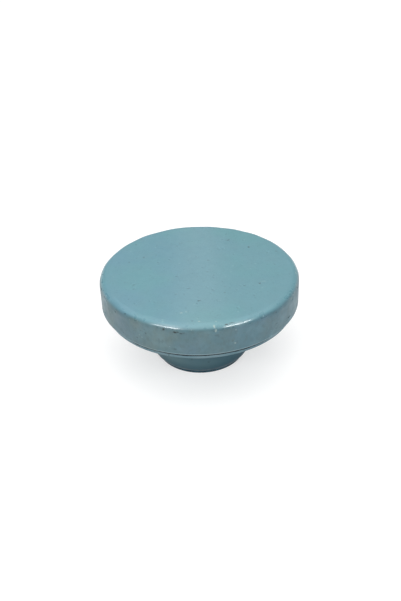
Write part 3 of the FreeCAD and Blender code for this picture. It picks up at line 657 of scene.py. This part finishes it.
# Dents, chips and flecks in their real places near the front: spot, length, width and depth in
# mm, and how dark and how pale the spot is.
FRONT_MARKS = (
    (side_spot(-19.4, 44.9), 1.7, 0.9, 0.35, 0.90, 0.0),
    (side_spot(-20.4, 44.4), 0.9, 0.8, 0.25, 0.55, 0.0),
    (side_spot(-13.4, 44.0), 2.6, 0.8, 0.40, 1.0, 0.0),
    (side_spot(-12.2, 44.3), 1.4, 0.5, 0.25, 0.80, 0.0),
    (side_spot(-10.3, 43.8), 1.9, 0.6, 0.28, 0.78, 0.0),
    (side_spot(-8.6, 44.3), 0.9, 0.5, 0.15, 0.35, 0.0),
    (side_spot(-30.1, 40.4), 1.3, 0.9, 0.15, 0.40, 0.0),
    (side_spot(-30.9, 42.5), 0.9, 0.6, 0.12, 0.30, 0.0),
    (side_spot(-44.7, 45.8), 1.1, 0.6, 0.20, 0.55, 0.0),
    (side_spot(58.0, 35.5), 2.4, 0.7, 0.25, 0.80, 0.0),
    (side_spot(55.4, 34.9), 1.4, 0.6, 0.20, 0.60, 0.0),
    (side_spot(44.3, 44.6), 1.2, 0.7, 0.20, 0.60, 0.0),
    (side_spot(44.8, 38.1), 1.6, 0.7, 0.15, 0.45, 0.0),
    (side_spot(18.3, 36.5), 1.2, 1.0, -0.05, 0.0, 0.40),
    (side_spot(8.4, 42.3), 2.8, 1.6, 0.06, 0.20, 0.0),
    (side_spot(-22.0, 38.0), 3.6, 2.2, 0.05, 0.20, 0.0),
    (side_spot(7.2, 46.5), 1.0, 1.8, 0.10, 0.0, 0.42),
    (side_spot(7.6, 45.0), 0.9, 1.4, 0.08, 0.0, 0.34),
    (side_spot(6.6, 44.6), 1.1, 0.7, 0.10, 0.30, 0.0),
    (side_spot(13.3, 46.75), 1.8, 0.60, 0.10, 0.90, 0.0),
    (side_spot(16.6, 46.85), 2.6, 0.55, 0.08, 0.70, 0.0),
    (top_spot(29.3, -14.5), 1.25, 1.15, 0.30, 1.0, 0.0),
    (top_spot(31.2, -13.0), 3.0, 1.8, 0.03, 0.0, 0.08),
    (top_spot(26.5, 22.0), 1.1, 1.2, 0.20, 0.80, 0.0),
    (top_spot(16.0, 30.5, 20.0), 2.0, 1.5, 0.15, 0.45, 0.0),
    (top_spot(13.2, 31.3), 1.0, 0.9, 0.12, 0.25, 0.0),
    (top_spot(18.6, 27.9), 0.9, 0.7, 0.12, 0.25, 0.0),
    (top_spot(-11.0, -5.6), 1.2, 0.9, 0.15, 0.40, 0.0),
    (top_spot(-14.8, -8.9), 1.2, 0.7, 0.10, 0.25, 0.0),
    (top_spot(-5.6, -17.5, 8.0), 3.2, 0.9, 0.12, 0.35, 0.0),
    (top_spot(21.7, -16.4), 1.6, 1.3, 0.10, 0.30, 0.0),
    (top_spot(-0.3, -28.2, 35.0), 1.9, 1.0, 0.18, 0.45, 0.0),
    (top_spot(-1.2, -30.8), 0.9, 0.9, 0.15, 0.30, 0.0),
    (top_spot(-8.8, -38.4, 15.0), 1.5, 0.9, -0.04, 0.0, 0.45),
    (top_spot(-6.5, -37.7, 15.0), 1.2, 0.8, -0.04, 0.0, 0.40),
    (top_spot(-3.6, -45.0), 1.1, 0.8, 0.12, 0.35, 0.0),
    (top_spot(-0.6, -45.6), 1.3, 0.7, -0.04, 0.0, 0.45),
    (top_spot(6.8, -46.0), 1.2, 0.7, -0.04, 0.0, 0.30),
)


def random_marks():
    """Small pits scattered over the top and side, and chips along the rim, away from the front."""
    rng = np.random.default_rng(20)
    top_pits, side_pits, rim_chips = 54, 26, 22
    marks = []
    for _ in range(top_pits):
        radius = 43.0 * math.sqrt(rng.uniform())
        angle = rng.uniform(0, math.tau)
        across, away = radius * math.sin(angle), radius * math.cos(angle)
        spot = top_spot(across, away, rng.uniform(0, 180))
        size = rng.uniform(0.5, 1.15)
        length = size * rng.uniform(1.0, 1.5)
        marks.append((spot, length, size, 0.16 * size, rng.uniform(0.08, 0.26), 0.0))
    for _ in range(side_pits):
        spot = side_spot(rng.uniform(-180, 180), rng.uniform(34.5, 43.5))
        size = rng.uniform(0.6, 1.3)
        length = size * rng.uniform(1.0, 1.8)
        marks.append((spot, length, size * 0.8, 0.14 * size, rng.uniform(0.15, 0.45), 0.0))
    for _ in range(rim_chips):
        spot = side_spot(rng.uniform(52, 308), rng.uniform(44.0, 46.9))
        size = rng.uniform(0.6, 1.4)
        is_pale = rng.uniform() < 0.3
        length = size * rng.uniform(1.2, 2.2)
        dark, pale = (0.0, 0.35) if is_pale else (rng.uniform(0.3, 0.75), 0.0)
        marks.append((spot, length, size * 0.8, 0.22 * size, dark, pale))
    return marks


def make_plate():
    """The plate's skin: a flat top, a rounded and worn rim, and the air recess underneath."""
    recess = 40.0 * MM
    roof = PLATE_LOW.z + 5.0 * MM
    fine, coarse = 1024, 128
    radius = PLATE_RADIUS
    lathe = Lathe([
        run_line((0.0, TOP), (radius - RIM, TOP), 0.36 * MM, fine),
        run_arc((radius - RIM, TOP - RIM), RIM, 90, 0, 0.22 * MM, fine),
        run_line((radius, TOP - RIM), (radius, PLATE_LOW.z + LIP), 0.32 * MM, fine),
        run_arc((radius - LIP, PLATE_LOW.z + LIP), LIP, 0, -90, 0.16 * MM, fine),
        run_line((radius - LIP, PLATE_LOW.z), (recess, PLATE_LOW.z), 1.2 * MM, coarse),
        run_line((recess, PLATE_LOW.z), (recess, roof), 1.0 * MM, coarse),
        run_line((recess, roof), (0.0, roof), 3.0 * MM, coarse),
        (np.array([[0.0, roof]]), np.array([[0.0, -1.0]]), np.array([coarse])),
    ], spacing=0.30 * MM)

    # Shares from 0 to 1: the skin that can be seen from outside, and its rim.
    points = lathe.points.copy()
    height = points[:, 2]
    reach = np.hypot(points[:, 0], points[:, 1])
    skin = soft_step(reach, 40.5 * MM, 47.0 * MM)
    skin = np.maximum(skin, height > TOP - 0.01 * MM)
    rim = soft_step(height, TOP - 6.0 * MM, TOP - 2.5 * MM) * skin
    rim *= soft_step(reach, 42.0 * MM, 47.5 * MM)

    # Long and fine waves all over, swells along the rim and then the marks, all in mm.
    warp = ripple(points, 3, 1.6 * MM)
    push = 0.05 * ripple(points, 1, 30 * MM)
    push += 0.007 * (1 - 0.9 * rim) * ripple(points, 2, 2.2 * MM)
    push += 0.08 * rim * ripple(points, 4, 15 * MM)
    dark = np.zeros(len(points))
    pale = np.zeros(len(points))
    for spot, length, width, depth, darkness, paleness in (*FRONT_MARKS, *random_marks()):
        field = closeness(points, spot, length, width, warp)
        push -= depth * field
        dark = np.maximum(dark, darkness * field)
        pale = np.maximum(pale, paleness * field)
    lathe.push(push * skin * MM)

    # The rim is rubbed dull, apart from glazed patches: one left and one right of the front, and
    # random ones further round.
    azimuth = np.degrees(np.arctan2(points[:, 0], -points[:, 1]))
    glaze = soft_step(azimuth, -29.0, -18.0) * (1 - soft_step(azimuth, -15.5, -7.5))
    glaze += soft_step(azimuth, 11.0, 14.5) * (1 - soft_step(azimuth, 22.5, 32.0))
    patches = 0.6 * soft_step(ripple(points, 5, 16 * MM), 0.2, 1.0)
    glaze += patches * soft_step(np.abs(azimuth), 52.0, 60.0)
    glaze *= rim * (1 - pale) * (1 - dark)

    attributes = {"dark": dark, "pale": pale, "glaze": glaze}
    plate = lathe.make("stone_plate", stone_material(), attributes)
    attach(plate, "housing")
    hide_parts("diffuser_stone")


# ---------------------------------------------------------------------------------------------
# Sealant bead and foot
# ---------------------------------------------------------------------------------------------


def make_bead():
    """The adhesive ring under the plate and the uneven bead squeezed out over the flange's edge."""
    top = PLATE_LOW.z - 0.02 * MM
    floor = top - 0.76 * MM
    inner = 40.3 * MM
    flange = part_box("base_housing")[1].x + 0.03 * MM

    # The bead's outside is an arc, which starts and ends at 0.97 of its radius.
    bulge = 1.32 * MM
    first, last = 13, -76
    end = 0.97 * bulge
    centre = (flange - 0.28 * MM, top - 0.33 * MM)
    fine, coarse = 1024, 512
    lathe = Lathe([
        run_arc(centre, bulge, first, last, 0.12 * MM, fine),
        run_line((flange + 0.05 * MM, centre[1] - end), (flange, floor), 0.3 * MM, fine),
        run_line((flange, floor), (inner, floor), 1.5 * MM, coarse),
        run_line((inner, floor), (inner, top), 0.4 * MM, coarse),
        run_line((inner, top), (centre[0] + end, top), 1.5 * MM, coarse),
    ], spacing=0.4 * MM, closed=True)

    reach = np.hypot(lathe.points[:, 0], lathe.points[:, 1])
    outside = (reach > flange + 0.1 * MM) * (lathe.points[:, 2] < top)
    uneven = 0.13 * ripple(lathe.points, 11, 10 * MM) + 0.05 * ripple(lathe.points, 12, 2.5 * MM)
    lathe.push(outside * np.clip(uneven - 0.10, -0.4, 0.1) * MM)
    sealant = plain_material("cured_sealant", srgb(14, 24, 29), srgb(8, 15, 18), (0.6, 0.8),
                             scale=300.0, specular=0.15)
    bead = lathe.make("bond_bead", sealant)
    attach(bead, "housing")
    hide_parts("stone_bond_ring")


def make_foot():
    """The rubber foot: rounded lower edges, and a keel that sits in the collar."""
    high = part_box("foot_ring")[1]
    outer, keel_top = high.x, high.z
    inner = 20.2 * MM
    shoulder = 1.5 * MM
    edge = 0.45 * MM
    keel_out, keel_in = 22.15 * MM, 21.25 * MM
    count = 512
    step, arc_step = 0.25 * MM, 0.1 * MM
    lathe = Lathe([
        run_arc((outer - edge, edge), edge, 0, -90, arc_step, count),
        run_line((outer - edge, 0.0), (inner + edge, 0.0), step, count),
        run_arc((inner + edge, edge), edge, 270, 180, arc_step, count),
        run_line((inner, edge), (inner, shoulder), step, count),
        run_line((inner, shoulder), (keel_in, shoulder), step, count),
        run_line((keel_in, shoulder), (keel_in, keel_top), step, count),
        run_line((keel_in, keel_top), (keel_out, keel_top), step, count),
        run_line((keel_out, keel_top), (keel_out, shoulder), step, count),
        run_line((keel_out, shoulder), (outer, shoulder), step, count),
        run_line((outer, shoulder), (outer, edge), step, count),
    ], spacing=0.4 * MM, closed=True)

    # The walls between the ground and the shoulder are drawn in a little, unevenly.
    height = lathe.points[:, 2]
    walls = (height > 0.2 * MM) * (height < shoulder - 0.1 * MM)
    lathe.push(walls * (0.04 * ripple(lathe.points, 21, 8 * MM) - 0.05) * MM)
    rubber = plain_material("foot_rubber", srgb(54, 80, 92), srgb(38, 60, 71), (0.5, 0.8),
                            scale=260.0, grain=0.03 * MM, specular=0.1)
    foot = lathe.make("foot_pad", rubber)
    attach(foot, "housing")
    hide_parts("foot_ring")


# ---------------------------------------------------------------------------------------------
# Valve spring
# ---------------------------------------------------------------------------------------------


def make_spring(steel):
    """The valve's spring, wound from round wire and left at its rest length, though the poppet
    shortens it from below as it lifts.
    """
    low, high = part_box("valve_spring")
    wire = 0.15 * MM
    turns, steps, sides = 6, 48, 14
    radius = high.x - wire
    climb = high.z - low.z - 2 * wire
    angle = np.linspace(0.0, math.tau * turns, turns * steps + 1)[:, None]
    zero = np.zeros_like(angle)
    outward = np.hstack([np.cos(angle), np.sin(angle), zero])
    middle = outward * radius + np.hstack([zero, zero, low.z + wire + climb * angle / angle[-1]])
    ahead = np.hstack([-np.sin(angle), np.cos(angle), zero + climb / (radius * math.tau * turns)])
    ahead /= np.linalg.norm(ahead, axis=1)[:, None]
    upward = np.cross(outward, ahead)
    strands = []
    for k in range(sides):
        turn = math.tau * k / sides
        strands.append(middle + wire * (math.cos(turn) * outward + math.sin(turn) * upward))
    points = np.stack(strands, axis=1).reshape(-1, 3)

    # Faces round the wire from one row of points to the next, and a cap on each end.
    faces = []
    for row in range(turns * steps):
        for k in range(sides):
            near, side = row * sides, (k + 1) % sides
            faces.append([near + k, near + sides + k, near + sides + side, near + side])
    last = turns * steps * sides
    faces.append(list(range(sides)))
    faces.append(list(reversed(range(last, last + sides))))
    mesh = bpy.data.meshes.new("spring_coil")
    mesh.from_pydata(points.tolist(), [], faces)
    mesh.polygons.foreach_set("use_smooth", [len(face) == 4 for face in faces])
    mesh.materials.append(steel)
    spring = add_object("spring_coil", mesh)
    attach(spring, "housing")
    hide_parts("valve_spring")
    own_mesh(spring)


# ---------------------------------------------------------------------------------------------
# CAD pieces that keep their shape and get a material
# ---------------------------------------------------------------------------------------------


def dress(material, *names):
    """Give CAD pieces a material in place of their plain one."""
    for name in names:
        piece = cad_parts[name]
        for slot in piece.material_slots:
            slot.material = material


def dress_cad_pieces():
    """Materials for the pieces that keep their CAD shape; the spring shares the clip's steel."""
    dress(housing_material(), "base_housing", "bottom_cover")
    dress(brass_material(), "hose_tail", "screw_inserts")
    nitrile = plain_material("black_nitrile", srgb(38, 38, 40), srgb(22, 22, 24), (0.35, 0.6),
                             scale=500.0)
    dress(nitrile, "cover_gasket", "cover_oring", "valve_body_oring", "hose_tail_oring")
    silicone = plain_material("red_silicone", srgb(188, 92, 62), srgb(164, 72, 48), (0.35, 0.55),
                              scale=500.0)
    dress(silicone, "poppet_seal")
    acetal = plain_material("acetal", srgb(226, 225, 216), srgb(208, 207, 198), (0.3, 0.5),
                            scale=400.0, grain=0.008 * MM)
    dress(acetal, "valve_body", "valve_poppet", "valve_guide")
    steel = plain_material("stainless", srgb(196, 198, 200), srgb(160, 163, 166), (0.2, 0.4),
                           metal=1.0, scale=600.0, grain=0.006 * MM, stretch=(1.0, 1.0, 6.0))
    dress(steel, "cover_screws", "valve_clip")
    make_spring(steel)
    ballast = plain_material("ballast_steel", srgb(112, 113, 116), srgb(84, 82, 80), (0.5, 0.75),
                             metal=0.8, scale=350.0, grain=0.05 * MM)
    dress(ballast, "ballast_left", "ballast_right")


# ---------------------------------------------------------------------------------------------
# Scene
# ---------------------------------------------------------------------------------------------

make_camera()
make_light()
make_floor()
make_plate()
make_bead()
make_foot()
dress_cad_pieces()
